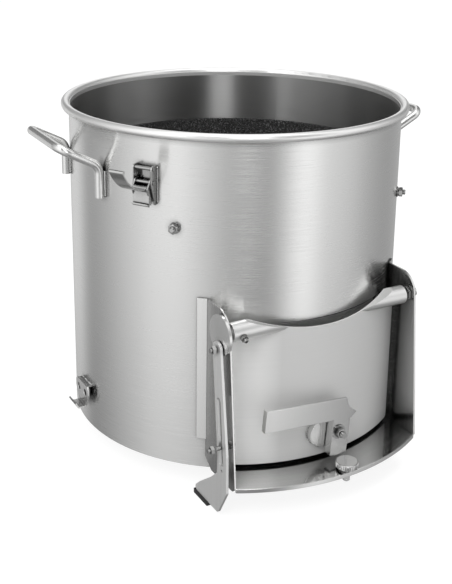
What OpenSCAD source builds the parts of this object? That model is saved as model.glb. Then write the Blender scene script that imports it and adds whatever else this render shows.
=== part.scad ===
// Work drum of a potato peeler: a steel drum with an abrasive lining and a turning
// abrasive disc, and a discharge chute with a hinged door and its safety link.
// Millimetres. The drum's axis is Z, its bottom rim is at z = 0, the chute faces -Y.

/* [Drum] */
// Outside radius of the drum wall
drum_r = 200; // [190:1:210]
// Thickness of the drum wall
wall_t = 1.5; // [1:0.1:2]
// Height of the drum from the bottom rim to the top of the bead
drum_h = 386; // [370:1:420]
// Radius of the rolled bead's section
bead_r = 4.8; // [4:0.1:6]
// Height of the top edge of the abrasive lining
liner_top = 315; // [295:1:330]
// Thickness of the lining's steel sheet
liner_t = 1; // [0.8:0.1:1.5]
// Thickness of the grit layer on the lining
grit_t = 1.5; // [1:0.1:2.5]
// Height of the four bolts that hold the lining
liner_bolt_z = 280; // [240:1:290]
// Angle of the front bolts from the chute's middle
liner_bolt_az = 48; // [44:1:60]
// Thickness of the drum's floor
floor_t = 2; // [1.5:0.1:3]
// Height of the top of the drum's floor
floor_z = 5; // [4:0.5:7]

/* [Window and chute] */
// Half width of the window in the drum wall
window_half_w = 90; // [80:1:95]
// Height of the window's lower edge
window_sill = 20; // [18:1:24]
// Thickness of the chute's and the link's sheet
sheet_t = 2; // [1.5:0.1:2.5]
// Half width of the chute between its side cheeks
chute_half_w = 121; // [119:0.5:126]
// Height of the chute floor's upper face
chute_z = 8; // [6:0.5:9]
// Reach of the chute's front edge in front of the drum wall
chute_reach = 55; // [50:1:62]
// Height of the folded lip along the chute's front edge
chute_lip = 4.5; // [3:0.5:6]
// Width of the flange that joins each cheek to the drum
flange_w = 11; // [8:0.5:16]
// Radius of the rounded upper front corner of each cheek
cheek_corner_r = 25; // [24:0.5:30]

/* [Door] */
// Height of the door's hinge axis
hinge_z = 178; // [170:1:190]
// Distance of the hinge axis inside the drum's outer radius
hinge_inset = 3; // [2:0.5:4]
// Radius of the door's hinge bar
bar_r = 10.5; // [9.5:0.5:11]
// Radius of the hinge bolt and of the crank's shaft
pin_r = 5; // [4:0.5:6]
// Gap between the drum wall and the door panel
door_gap = 11; // [10.5:0.5:13]
// Thickness of the door panel
door_t = 1.5; // [1:0.1:2]
// Gap between the door panel and each cheek
door_side_gap = 7; // [5:0.5:15]
// Height of the door panel's lower edge
door_bottom = 12; // [12:0.5:18]
// Depth of the dip in the door panel's upper edge
door_dip = 8; // [6:0.5:12]
// Thickness of the door's inner panel
plug_t = 1.5; // [1:0.1:2]
// Thickness of the grit on the door's inner panel
plug_grit_t = 1.5; // [1:0.1:2.5]
// Radius of the spacers between the door's two panels
spacer_r = 6; // [5:0.5:8]

/* [Door latch] */
// Place of the latch pivot across the door
latch_x = 5.5; // [0:0.5:10]
// Height of the latch pivot
latch_z = 47; // [44:0.5:52]
// Radius of the latch pivot bolt
latch_bolt_r = 3; // [2.5:0.5:4]
// Radius of the round boss behind the latch lever
boss_r = 16.5; // [14:0.5:18]
// Length of the spacer tube between the boss and the lever
spacer_len = 9; // [6:0.5:10]
// Thickness of the latch lever
lever_t = 3; // [2:0.5:4]
// Length of the lever's flag to the left of its pivot
flag_len = 98; // [80:1:105]
// Height of the lever's flag
flag_h = 25; // [20:1:30]
// Width of the lever's strap
strap_w = 22; // [18:1:26]
// Depth of the flanges folded back from the lever
flange_back = 8; // [5:0.5:8]
// Depth of the grip's turned end
flag_back = 4; // [3:0.5:6]
// Tilt of the whole lever, right end down
lever_tilt = 5; // [0:1:8]
// Distance of the thumb screw behind the chute's front edge
knob_edge = 9.3; // [8:0.1:12]
// Radius of the thumb screw's head
knob_r = 13; // [10:0.5:13.5]
// Height of the thumb screw's head
knob_h = 8.6; // [6:0.2:8.8]
// Radius of the thumb screw's shank
knob_screw_r = 4; // [3:0.5:5]

/* [Safety link] */
// Radius of the crank disc
crank_r = 22; // [20:0.5:24]
// Thickness of the crank disc
crank_t = 3; // [2:0.5:4]
// Distance of the crank pin from the hinge axis
crank_arm = 15; // [12:0.5:16]
// Angle of the crank pin forward of straight down
crank_angle = 4; // [0:1:10]
// Radius of the crank pin and of the guide bolt
link_bolt_r = 2.5; // [2:0.25:3]
// Thickness of the link bar
link_t = 3; // [2:0.5:4]
// Half width of the link bar
link_half_w = 8.5; // [7:0.5:10]
// Height of the guide bolt
guide_z = 54; // [50:1:60]
// Length of the guide slot between its end centres
slot_len = 70; // [60:1:76]
// Sideways room of the guide bolt in the slot, each side
slot_room = 1.4; // [1.3:0.1:1.8]
// Drop of the link's foot below the drum's rim
foot_drop = 28; // [22:1:30]
// Reach of the foot behind the guide bolt
foot_len = 57; // [50:1:60]
// Height of the magnet strip under the link's foot
magnet_h = 5.5; // [4:0.5:8]
// Length of the magnet strip
magnet_len = 31; // [24:1:36]

/* [Drive] */
// Radius of the drive shaft
shaft_r = 10; // [9:0.5:11]
// Outside radius of the ball bearings
bearing_r = 21; // [20:0.5:23]
// Width of each ball bearing
bearing_w = 12; // [10:0.5:12]
// Radius of the abrasive disc
disc_r = 190; // [175:1:193]
// Height of the abrasive disc's underside
disc_z = 14; // [13.5:0.5:15]
// Thickness of the abrasive disc's steel plate
disc_t = 3; // [2:0.5:4]
// Thickness of the disc's grit layer
disc_grit_t = 2; // [1:0.5:2.5]
// Radius of the waste outlet's bore
drain_r = 24; // [18:1:28]

/* [Handles and fittings] */
// Radius of the handle rod
rod_r = 5; // [4:0.5:6]
// Half distance between the legs of a handle
leg_half = 55; // [45:1:65]
// Height of the foot of each handle leg
leg_foot = 298; // [290:1:305]
// Height at which each handle leg bends outwards
leg_top = 334; // [325:1:340]
// Outward reach of the handle from its legs
handle_reach = 44; // [38:1:55]
// Rise of the handle's arms from the legs to the grip
handle_rise = 23; // [10:1:30]
// Radius of the handle's bends at the rod's middle
bend_r = 14; // [10:1:18]
// Turn of both handles from the line across the chute
handle_turn = 1.5; // [0:0.5:4]
// Angle of the lid toggle from the chute's middle
toggle_az = 57.4; // [54:0.2:62]
// Height of the toggle's lever pivot
toggle_z = 328.5; // [322:0.5:332]
// Width of the toggle's base
toggle_w = 24; // [22:1:30]
// Outer radius of the toggle's hook
hook_r = 54.7; // [45:0.1:65]
// Height of the top of the base catches
catch_top = 54; // [45:1:60]

/* [Hidden] */
$fn = 64;

// running clearance of a shaft in its hole, and the gap between parts that pass
run_c = 0.05;
gap = 0.3;
eps = 0.01;
big = 2 * drum_r;

wall_in_r = drum_r - wall_t;
bead_mid_r = drum_r + bead_r - 0.8;
liner_in_r = wall_in_r - liner_t;
grit_in_r = liner_in_r - grit_t;
hinge_y = drum_r - hinge_inset;
window_top = hinge_z - 4;
cheek_top = hinge_z + cheek_corner_r;
cheek_mid_y = hinge_y - 13;
cheek_heel = 0.26 * drum_r;
chute_r = drum_r + chute_reach;
cheek_foot_y = sqrt(chute_r * chute_r - chute_half_w * chute_half_w);
lip_z = chute_z - chute_lip;
flange_z = 36;

door_half_w = chute_half_w - door_side_gap;
door_r = drum_r + door_gap;
door_out_r = door_r + door_t;
plug_out_r = wall_in_r - 0.5;
plug_in_r = plug_out_r - plug_t;
plug_gap = 2;
spacer_x = window_half_w * 0.61;
spacer_z = (window_top - window_sill) * 0.2;
bar_right = chute_half_w - 9;
bar_left = chute_half_w - 5;
bore_depth = 19;
bar_full_x = bar_right - 15;

knob_x = latch_x + 3;
knob_y = chute_r - knob_edge;
lever_y = knob_y - knob_r - lever_t - 1.2;
boss_y = lever_y - spacer_len;
knob_z = chute_z + gap;
strap_end = latch_z - knob_z - knob_h - gap;

crank_in_x = chute_half_w + sheet_t + 2 + gap;
link_in_x = crank_in_x + crank_t + 1;
link_out_x = link_in_x + link_t;
pin_y = hinge_y + crank_arm * sin(crank_angle);
pin_z = hinge_z - crank_arm * cos(crank_angle);
guide_y = hinge_y + 12.5;
link_lean = atan2(guide_y - pin_y, pin_z - guide_z);
slot_top = norm([guide_y - pin_y, pin_z - guide_z]) - (slot_len - 18);
nut_h = 4;
m5_nut_r = 4.6;
m6_nut_r = 5.8;

bearing_low_z = floor_z - 22;
bearing_high_z = bearing_low_z + bearing_w + 2;
housing_r = bearing_r + 6;
housing_top = bearing_high_z + bearing_w + 3.5;
race_t = 3.2;
ball_r = (bearing_r - shaft_r - 2 * race_t) / 2 + 0.7;
ball_mid_r = (bearing_r + shaft_r) / 2;
disc_top = disc_z + disc_t + disc_grit_t;
wave_start = 60;
wave_edge = 15;
wave_r = 24;
wave_rise = 7;
hub_t = 8;
stud_r = 6;
stud_len = 13;
housing_flange = 18;
liner_bolt_out = 10;
shaft_end = -31;
drive_end_r = shaft_r - 2;
drive_end_len = 12;
drain_y = 0.65 * drum_r;
drain_end = -18;

leg_mid = sqrt(pow(drum_r + rod_r, 2) - leg_half * leg_half);
toggle_r = drum_r + 1.5;
toggle_pin_r = 2;
toggle_pin_d = drum_r + 6.5;
stop_pin_dz = 15;
link_pin_d = drum_r + 12;
link_pin_dz = -6;

steel = [0.78, 0.78, 0.77];
dark_steel = [0.55, 0.55, 0.55];
black_grit = [0.07, 0.07, 0.07];
black = [0.1, 0.1, 0.1];

// plain ring about the drum's axis
module ring(r_in, r_out, z0, z1) {
    rotate_extrude($fn = 180) translate([r_in, z0]) square([r_out - r_in, z1 - z0]);
}

// ring cut to the chute side and to a half width across it
module front_sector(r_in, r_out, z0, z1, half_w) {
    intersection() {
        ring(r_in, r_out, z0, z1);
        translate([-half_w, -big, z0 - 1]) cube([2 * half_w, big, z1 - z0 + 2]);
    }
}

// extrudes an outline drawn in X and Z from y = -front towards the viewer
module front_plate(front, thick) {
    translate([0, -front, 0]) rotate([90, 0, 0]) linear_extrude(thick) children();
}

// extrudes an outline drawn in Y and Z along +X from x
module side_plate(x, thick) {
    translate([x, 0, 0]) rotate([90, 0, 90]) linear_extrude(thick) children();
}

// cylinder along X between two places, at a place given in Y and Z
module rod_x(x0, x1, y, z, r, fn = 64) {
    translate([x0, y, z]) rotate([0, 90, 0]) cylinder(r = r, h = x1 - x0, $fn = fn);
}

// cylinder along -Y between two distances in front of the axis
module rod_y(front0, front1, x, z, r, fn = 64) {
    translate([x, -front0, z]) rotate([90, 0, 0]) cylinder(r = r, h = front1 - front0, $fn = fn);
}

// turns its children, drawn at the right (+X) side, to an angle from the chute's middle
module at_az(az) {
    rotate([0, 0, az - 90]) children();
}

module drum_shell() {
    color(steel) difference() {
        union() {
            ring(wall_in_r, drum_r, 0, drum_h - bead_r);
            rotate_extrude($fn = 180) translate([bead_mid_r, drum_h - bead_r]) circle(bead_r);
        }
        translate([-window_half_w, -drum_r - 1, window_sill])
            cube([2 * window_half_w, drum_r / 2, window_top - window_sill]);
        liner_bolt_holes(3);
    }
}

module liner_bolt_holes(r) {
    for (az = [liner_bolt_az, -liner_bolt_az, 180 - liner_bolt_az, liner_bolt_az - 180])
        at_az(az) rod_x(drum_r - 12, drum_r + 12, 0, liner_bolt_z, r);
}

// cut-out of the lining in front of the discharge window
module window_cut() {
    translate([-window_half_w, -drum_r, window_sill])
        cube([2 * window_half_w, drum_r / 2, window_top - window_sill]);
}

module liner_sheet() {
    color(steel) difference() {
        ring(liner_in_r, wall_in_r, floor_z, liner_top);
        window_cut();
        liner_bolt_holes(3);
    }
}

module liner_grit() {
    color(black_grit) difference() {
        ring(grit_in_r, liner_in_r, floor_z + 1, liner_top - 1);
        window_cut();
        liner_bolt_holes(6.5);
    }
}

// bolt with a flat head inside, washer, nut and rounded end outside
module liner_bolts() {
    color(dark_steel)
    for (az = [liner_bolt_az, -liner_bolt_az, 180 - liner_bolt_az, liner_bolt_az - 180])
        at_az(az) {
            rod_x(liner_in_r - 2, liner_in_r - 0.1, 0, liner_bolt_z, 6);
            rod_x(liner_in_r - 0.2, drum_r + liner_bolt_out, 0, liner_bolt_z, 2.95);
            difference() {
                rod_x(drum_r, drum_r + 1.2, 0, liner_bolt_z, 6.3);
                rod_x(drum_r - 1, drum_r + 2, 0, liner_bolt_z, 2.95);
            }
            difference() {
                rod_x(drum_r + 1.2, drum_r + 6.2, 0, liner_bolt_z, m6_nut_r, 6);
                rod_x(drum_r, drum_r + 7, 0, liner_bolt_z, 2.95);
            }
        }
}

module drum_floor() {
    color(steel) difference() {
        ring(housing_r, wall_in_r, floor_z - floor_t, floor_z);
        translate([0, drain_y, 0]) cylinder(r = drain_r + 1.5, h = 3 * floor_z, center = true);
    }
}

module drain_pipe() {
    color(steel) translate([0, drain_y, 0]) rotate_extrude()
        translate([drain_r, drain_end]) square([1.5, floor_z - drain_end]);
}

// turned housing welded into the floor, with a shoulder between the two bearings
module bearing_housing() {
    color(dark_steel) difference() {
        union() {
            translate([0, 0, bearing_low_z - 2]) cylinder(r = housing_r, h = housing_top - bearing_low_z + 2);
            ring(housing_r - 1, housing_r + housing_flange, floor_z - floor_t - 4, floor_z - floor_t);
        }
        translate([0, 0, bearing_low_z - 3]) cylinder(r = bearing_r, h = bearing_w + 3);
        translate([0, 0, bearing_high_z]) cylinder(r = bearing_r, h = bearing_w + 5);
        translate([0, 0, bearing_low_z]) cylinder(r = bearing_r - race_t, h = 3 * bearing_w);
    }
}

module bearing_outer_rings() {
    color(dark_steel) for (z = [bearing_low_z, bearing_high_z]) rotate_extrude() difference() {
        translate([bearing_r - race_t, z]) square([race_t, bearing_w]);
        translate([ball_mid_r, z + bearing_w / 2]) circle(ball_r + run_c);
    }
}

module bearing_inner_rings() {
    color(dark_steel) for (z = [bearing_low_z, bearing_high_z]) rotate_extrude() difference() {
        translate([shaft_r, z]) square([race_t, bearing_w]);
        translate([ball_mid_r, z + bearing_w / 2]) circle(ball_r + run_c);
    }
}

module bearing_balls() {
    balls = 9;
    color(steel) for (z = [bearing_low_z, bearing_high_z]) for (i = [0 : balls - 1])
        rotate([0, 0, i * 360 / balls]) translate([ball_mid_r, 0, z + bearing_w / 2])
            sphere(r = ball_r, $fn = 24);
}

// lip seal seated in the mouth of the housing
module shaft_seal() {
    color(black) ring(shaft_r + run_c, bearing_r, bearing_high_z + bearing_w + 0.2, housing_top - 0.3);
}

// snap ring that holds the lower bearing in its housing
module bearing_circlip() {
    color(dark_steel) difference() {
        ring(bearing_r - 3, bearing_r, bearing_low_z - 1.5, bearing_low_z);
        translate([bearing_r - 5, -2.5, bearing_low_z - 2]) cube([8, 5, 3]);
    }
}

// stepped shaft with a smaller driven end and a threaded top
module drive_shaft() {
    color(steel) difference() {
        union() {
            translate([0, 0, shaft_end]) cylinder(r = drive_end_r, h = drive_end_len + 1);
            translate([0, 0, shaft_end + drive_end_len])
                cylinder(r = shaft_r, h = disc_z + disc_t - shaft_end - drive_end_len);
            cylinder(r = stud_r, h = disc_top + stud_len);
        }
        translate([drive_end_r - 2.5, -2.5, shaft_end - 1]) cube([4, 5, drive_end_len - 1]);
    }
}

module disc_plate() {
    color(steel) difference() {
        union() {
            ring(shaft_r, disc_r, disc_z, disc_z + disc_t);
            ring(shaft_r, shaft_r + hub_t, housing_top + 0.5, disc_z + 0.5);
        }
    }
}

// grit layer with raised waves that tumble the potatoes
module disc_grit() {
    waves = 3;
    color(black_grit) union() {
        ring(22, disc_r - 1, disc_z + disc_t, disc_top);
        for (i = [0 : waves - 1]) rotate([0, 0, 30 + i * 360 / waves])
            intersection() {
                translate([wave_start, 0, disc_top + wave_rise - wave_r]) rotate([0, 90, 0])
                    cylinder(r = wave_r, h = disc_r - wave_start - wave_edge);
                translate([wave_start - 5, -wave_r, disc_top - 1]) cube([disc_r, 2 * wave_r, wave_r]);
            }
    }
}

// vanes under the disc that sweep the peelings to the outlet
module disc_wipers() {
    color(steel) for (a = [0, 180]) rotate([0, 0, a])
        translate([housing_r + 22, -1.5, floor_z + 2])
            cube([disc_r - housing_r - 40, 3, disc_z - floor_z - 2]);
}

module disc_washer() {
    color(steel) ring(stud_r + run_c, 20, disc_z + disc_t, disc_z + disc_t + 2);
}

// closed dome nut on the shaft's threaded top
module disc_nut() {
    color(steel) difference() {
        union() {
            translate([0, 0, disc_z + disc_t + 2]) cylinder(r = 11, h = 9, $fn = 6);
            translate([0, 0, disc_z + disc_t + 11]) intersection() {
                sphere(r = 9);
                translate([0, 0, 5]) cube([20, 20, 10], center = true);
            }
        }
        translate([0, 0, disc_z]) cylinder(r = stud_r, h = disc_top + stud_len - disc_z);
    }
}

// bent rod: two legs on the wall, arms that rise outwards, and a straight grip
module handle_rod() {
    arm = norm([handle_reach, handle_rise]);
    pitch = atan2(handle_rise, handle_reach);
    foot_bend = bend_r * tan((90 - pitch) / 2);
    lap = 0.5;
    swell_r = rod_r + 0.03;
    translate([leg_mid, 0, 0]) {
        for (side = [-1, 1]) {
            translate([0, side * leg_half, leg_foot])
                cylinder(r = rod_r, h = leg_top - foot_bend + lap - leg_foot);
            translate([bend_r, side * leg_half, leg_top - foot_bend]) rotate([90, 0, 0])
                rotate([0, 0, 90 + pitch])
                rotate_extrude(angle = 90 - pitch) translate([bend_r, 0]) circle(swell_r);
        }
        translate([0, 0, leg_top]) rotate([0, -pitch, 0]) {
            for (side = [-1, 1]) {
                translate([foot_bend - lap, side * leg_half, 0]) rotate([0, 90, 0])
                    cylinder(r = rod_r, h = arm - bend_r - foot_bend + 2 * lap);
                translate([arm - bend_r, side * (leg_half - bend_r), 0])
                    rotate([0, 0, side > 0 ? 0 : -90])
                    rotate_extrude(angle = 90) translate([bend_r, 0]) circle(swell_r);
            }
            translate([arm, leg_half - bend_r + lap, 0]) rotate([90, 0, 0])
                cylinder(r = rod_r, h = 2 * (leg_half - bend_r + lap));
        }
    }
}

module left_handle() {
    color(steel) at_az(-90 - handle_turn) handle_rod();
}

module right_handle() {
    color(steel) at_az(90 - handle_turn) handle_rod();
}

// stand-off plate with two holes, closed at the top and hooked at the bottom
module base_catch() {
    top_half = 19;
    foot_half = 10.5;
    plate_x = drum_r + 5;
    low = catch_top - 27;
    difference() {
        union() {
            side_plate(plate_x, sheet_t)
                polygon([[-top_half, catch_top], [top_half, catch_top], [top_half, catch_top - 12],
                    [foot_half, low], [-foot_half, low], [-top_half, catch_top - 12]]);
            difference() {
                translate([drum_r - 2, -top_half, catch_top - sheet_t])
                    cube([7 + sheet_t, 2 * top_half, sheet_t]);
                cylinder(r = drum_r, h = 2 * catch_top, $fn = 180);
            }
            translate([plate_x, -foot_half, low - sheet_t]) cube([11, 2 * foot_half, sheet_t]);
            translate([plate_x + 9, -foot_half, low - sheet_t]) rotate([0, 30, 0])
                cube([sheet_t, 2 * foot_half, 9]);
        }
        for (side = [-1, 1]) rod_x(plate_x - 1, plate_x + sheet_t + 1, side * 9.5, catch_top - 10, 4);
    }
}

module left_base_catch() {
    color(steel) at_az(-90) base_catch();
}

module right_base_catch() {
    color(steel) at_az(90) base_catch();
}

// channel on the drum wall with two ears for the toggle's pins
module toggle_base() {
    half = toggle_w / 2;
    low = toggle_z - 25;
    top = toggle_z + 18;
    front = toggle_r + 8.5;
    color(steel) at_az(-toggle_az) difference() {
        union() {
            intersection() {
                ring(drum_r, toggle_r, low, top);
                translate([0, -half, low]) cube([big, toggle_w, 60]);
            }
            for (side = [-1, 1]) translate([0, side * (half - 0.75) + 0.75, 0]) rotate([90, 0, 0])
                linear_extrude(1.5) polygon([[toggle_r - 1.5, top], [front - 3, top],
                    [front - 0.8, top - 0.8], [front, top - 3], [front, toggle_z - 5],
                    [toggle_r + 3, low + 3], [toggle_r + 2, low], [toggle_r - 1.5, low]]);
        }
        for (dz = [0, stop_pin_dz]) translate([toggle_pin_d, half + 1, toggle_z + dz]) rotate([90, 0, 0])
            cylinder(r = toggle_pin_r, h = toggle_w + 2);
        cylinder(r = drum_r, h = drum_h, $fn = 180);
    }
}

module toggle_pins() {
    color(steel) at_az(-toggle_az) for (dz = [0, stop_pin_dz])
        translate([toggle_pin_d, toggle_w / 2 + 0.8, toggle_z + dz]) rotate([90, 0, 0])
            cylinder(r = toggle_pin_r, h = toggle_w + 1.6);
}

// pressed lever that hangs from the lower pin, with a finger lip at its foot
module toggle_lever() {
    half = toggle_w / 2 - 2;
    plate_d = toggle_r + 9.5;
    foot = toggle_z - 25;
    color(steel) at_az(-toggle_az) difference() {
        union() {
            translate([plate_d, -half, foot]) cube([1.5, 2 * half, 15.7]);
            translate([plate_d, -half, foot]) rotate([0, -35, 0]) translate([0, 0, -1])
                cube([4.5, 2 * half, 1.5]);
            for (side = [-1, 1]) translate([0, side * (half - 0.75) + 0.75, 0]) rotate([90, 0, 0])
                linear_extrude(1.5) union() {
                    translate([toggle_pin_d, toggle_z]) circle(4);
                    polygon([[toggle_pin_d - 4, toggle_z], [toggle_pin_d + 4, toggle_z],
                        [link_pin_d + 3.5, toggle_z + link_pin_dz], [plate_d + 1.5, toggle_z - 13],
                        [plate_d + 1.5, foot + 1], [plate_d - 3.5, foot + 1], [plate_d - 5, toggle_z - 10]]);
                }
        }
        translate([toggle_pin_d, half + 1, toggle_z]) rotate([90, 0, 0])
            cylinder(r = toggle_pin_r + run_c, h = 2 * half + 2);
        translate([link_pin_d, half + 1, toggle_z + link_pin_dz]) rotate([90, 0, 0])
            cylinder(r = 1.5, h = 2 * half + 2);
    }
}

module toggle_link_pin() {
    half = toggle_w / 2 - 2;
    color(steel) at_az(-toggle_az) translate([link_pin_d, half, toggle_z + link_pin_dz])
        rotate([90, 0, 0]) cylinder(r = 1.5, h = 2 * half);
}

// hook plate on the lever's own pin, curved outwards and up, with a rolled tip
module toggle_hook() {
    half = toggle_w / 2 - 3.8;
    eye_r = 3;
    lean = 2.1;
    tip_a = -29.3;
    hook_mid = (hook_r - 0.8) * [-sin(lean), cos(lean)];
    tip = hook_mid + (hook_r - 0.8) * [cos(tip_a), sin(tip_a)];
    color(steel) at_az(-toggle_az)
        translate([link_pin_d, half, toggle_z + link_pin_dz]) rotate([90, 0, 0]) difference() {
            union() {
                cylinder(r = eye_r, h = 2 * half);
                linear_extrude(2 * half) {
                    translate(hook_mid) difference() {
                        intersection() {
                            circle(hook_r);
                            polygon([[0, 0], 2 * hook_r * [sin(lean), -cos(lean)],
                                2 * hook_r * [1, -1], 2 * hook_r * [cos(tip_a), sin(tip_a)]]);
                        }
                        circle(hook_r - 1.5);
                    }
                    translate(tip + [-0.8, 0.6]) circle(2.2);
                }
            }
            translate([0, 0, -1]) cylinder(r = 1.5 + run_c, h = 2 * half + 2);
        }
}

// point where a line from p touches a circle, on the outer side of the chute
function tangent_point(c, r, p) =
    let (d = p - c, a = atan2(d[1], d[0]) - acos(r / norm(d)))
    c + r * [cos(a), sin(a)];

// outline of a cheek in Y and Z, with the front pointing to -Y
module cheek_outline() {
    corner = [-cheek_mid_y, hinge_z];
    foot = [-cheek_foot_y, chute_z];
    union() {
        translate(corner) circle(cheek_corner_r);
        polygon([[-drum_r / 2, cheek_top], [-cheek_mid_y, cheek_top], corner,
            tangent_point(corner, cheek_corner_r, foot), foot, [-cheek_foot_y + 5, lip_z],
            [-cheek_foot_y + cheek_heel, lip_z], [-cheek_foot_y + cheek_heel + 16, lip_z + 12],
            [-drum_r / 2, lip_z + 12]]);
    }
}

// cheek with a flange that follows the drum wall
module cheek(side, hole_r) {
    root = asin((chute_half_w + sheet_t / 2) / drum_r);
    turn = flange_w / drum_r * 180 / PI;
    flange_r = drum_r + sheet_t;
    color(steel) difference() {
        union() {
            side_plate(side > 0 ? chute_half_w : -chute_half_w - sheet_t, sheet_t) cheek_outline();
            rotate([0, 0, -90 + side * (root + turn / 2) - turn / 2]) translate([0, 0, flange_z])
                rotate_extrude(angle = turn, $fn = 180)
                translate([drum_r, 0]) square([sheet_t, cheek_top + 1 - flange_z]);
        }
        translate([0, 0, -1]) cylinder(r = drum_r, h = drum_h, $fn = 180);
        rod_x(side > 0 ? chute_half_w - 5 : -chute_half_w - sheet_t - 5,
            side > 0 ? chute_half_w + sheet_t + 5 : -chute_half_w + 5, -hinge_y, hinge_z, hole_r);
        if (side < 0) rod_x(-chute_half_w - sheet_t - 1, -chute_half_w + 1, -guide_y, guide_z, link_bolt_r);
    }
}

module left_cheek() {
    cheek(-1, pin_r + 3);
}

module right_cheek() {
    cheek(1, pin_r);
}

// tray between the cheeks, with a folded lip and a tapped hole for the thumb screw
module chute_floor() {
    color(steel) difference() {
        union() {
            front_sector(drum_r, chute_r, chute_z - 1.5, chute_z, chute_half_w);
            front_sector(chute_r - 1.5, chute_r, lip_z, chute_z, chute_half_w);
        }
        translate([knob_x, -knob_y, 0]) cylinder(r = knob_screw_r + run_c, h = 3 * chute_z);
    }
}

// flanged bush in the left cheek that carries the crank's shaft
module hinge_bush() {
    color(dark_steel) difference() {
        union() {
            rod_x(-chute_half_w - sheet_t, -chute_half_w + 1.5, -hinge_y, hinge_z, pin_r + 3);
            rod_x(-chute_half_w - sheet_t - 2, -chute_half_w - sheet_t, -hinge_y, hinge_z, pin_r + 6);
        }
        rod_x(-chute_half_w - sheet_t - 3, -chute_half_w + 3, -hinge_y, hinge_z, pin_r + run_c);
    }
}

module hinge_bolt() {
    color(dark_steel) rod_x(bar_right - bore_depth + 1, chute_half_w + sheet_t + 8, -hinge_y, hinge_z, pin_r);
}

module hinge_bolt_nuts() {
    color(dark_steel) for (x = [chute_half_w - 4, chute_half_w + sheet_t]) difference() {
        rod_x(x, x + nut_h, -hinge_y, hinge_z, pin_r + 3.5, 6);
        rod_x(x - 1, x + nut_h + 1, -hinge_y, hinge_z, pin_r);
    }
}

module guide_bolt() {
    color(steel) rod_x(-link_out_x - 16, -chute_half_w + 5, -guide_y, guide_z, link_bolt_r);
}

module guide_bolt_nuts() {
    color(dark_steel) for (x = [-chute_half_w, -chute_half_w - sheet_t - nut_h, -link_out_x - 13])
        difference() {
            rod_x(x, x + nut_h, -guide_y, guide_z, m5_nut_r, 6);
            rod_x(x - 1, x + nut_h + 1, -guide_y, guide_z, link_bolt_r);
        }
}

// the door panel's outline before it is curved
module door_outline() {
    corner = 4;
    union() {
        translate([-door_half_w, door_bottom + corner])
            square([2 * door_half_w, hinge_z - door_bottom - corner]);
        translate([-door_half_w + corner, door_bottom]) square([2 * (door_half_w - corner), 2 * corner]);
        for (side = [-1, 1]) translate([side * (door_half_w - corner), door_bottom + corner])
            circle(corner);
    }
}

// wide arc that dips the upper edge of the panel and of the bar
module dip_cut() {
    rise = bar_r + door_dip;
    dip_r = (bar_full_x * bar_full_x + rise * rise) / (2 * rise);
    rod_y(drum_r / 2, door_out_r + bar_r, 0, hinge_z - door_dip + dip_r, dip_r, 240);
}

// curved outer panel, with its upper edge let into the hinge bar
module door_panel() {
    color(steel) difference() {
        union() {
            intersection() {
                front_sector(door_r, door_out_r, door_bottom, hinge_z, door_half_w);
                front_plate(0, big) door_outline();
            }
            intersection() {
                front_sector(door_r, door_out_r, hinge_z - bar_r, hinge_z + bar_r, bar_right);
                rod_x(-bar_right, bar_right, -hinge_y, hinge_z, bar_r);
            }
        }
        dip_cut();
        rod_y(drum_r, 2 * drum_r, latch_x, latch_z, latch_bolt_r);
    }
}

// hinge bar hollowed along its back to clear the drum, with a bore in each end
module hinge_bar() {
    color(steel) difference() {
        rod_x(-bar_left, bar_right, -hinge_y, hinge_z, bar_r);
        translate([0, 0, hinge_z - 2 * bar_r]) cylinder(r = door_out_r, h = 4 * bar_r, $fn = 180);
        rod_x(-bar_left - 1, -bar_left + bore_depth, -hinge_y, hinge_z, pin_r + run_c);
        dip_cut();
        rod_x(bar_right - bore_depth, bar_right + 1, -hinge_y, hinge_z, pin_r + run_c);
        rotate_about_bar() translate([-bar_left + 11, 0, 0]) cylinder(r = 2.5, h = 2 * bar_r);
    }
}

// moves its children so that their +Z points from the bar's axis forward and down
module rotate_about_bar() {
    translate([0, -hinge_y, hinge_z]) rotate([110, 0, 0]) children();
}

module door_spacers() {
    rows = [window_sill + spacer_z, window_top - spacer_z];
    color(steel) for (x = [-spacer_x, spacer_x]) for (z = rows) intersection() {
        ring(plug_out_r, door_r, z - spacer_r - 1, z + spacer_r + 1);
        rod_y(plug_out_r / 2, door_out_r, x, z, spacer_r);
    }
}

module plug_panel() {
    color(steel) front_sector(plug_in_r, plug_out_r, window_sill + plug_gap, window_top - plug_gap,
        window_half_w - plug_gap);
}

module plug_grit() {
    color(black_grit) front_sector(plug_in_r - plug_grit_t, plug_in_r, window_sill + plug_gap + 1,
        window_top - plug_gap - 1, window_half_w - plug_gap - 1);
}

module latch_boss() {
    color(steel) difference() {
        rod_y(drum_r, boss_y, latch_x - 12.5, latch_z - 5, boss_r);
        cylinder(r = door_out_r, h = 2 * latch_z, $fn = 180);
        rod_y(drum_r - 1, boss_y + 1, latch_x, latch_z, latch_bolt_r);
    }
}

module latch_bolt() {
    color(steel) union() {
        rod_y(door_r - 5, lever_y + 15, latch_x, latch_z, latch_bolt_r);
        rod_y(door_r - 5, door_r - 0.6, latch_x, latch_z, m6_nut_r, 6);
    }
}

module latch_spacer() {
    color(dark_steel) difference() {
        rod_y(boss_y, lever_y - 0.1, latch_x, latch_z, latch_bolt_r + 1.6);
        rod_y(boss_y - 1, lever_y + 1, latch_x, latch_z, latch_bolt_r);
    }
}

module latch_washers() {
    color(steel) difference() {
        rod_y(lever_y + lever_t + 0.1, lever_y + lever_t + 1.3, latch_x, latch_z, 8.5);
        rod_y(lever_y, lever_y + 10, latch_x, latch_z, latch_bolt_r);
    }
}

module latch_nut() {
    color(dark_steel) difference() {
        rod_y(lever_y + lever_t + 1.3, lever_y + lever_t + 6.3, latch_x, latch_z, m6_nut_r, 6);
        rod_y(lever_y, lever_y + 20, latch_x, latch_z, latch_bolt_r);
    }
}

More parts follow.
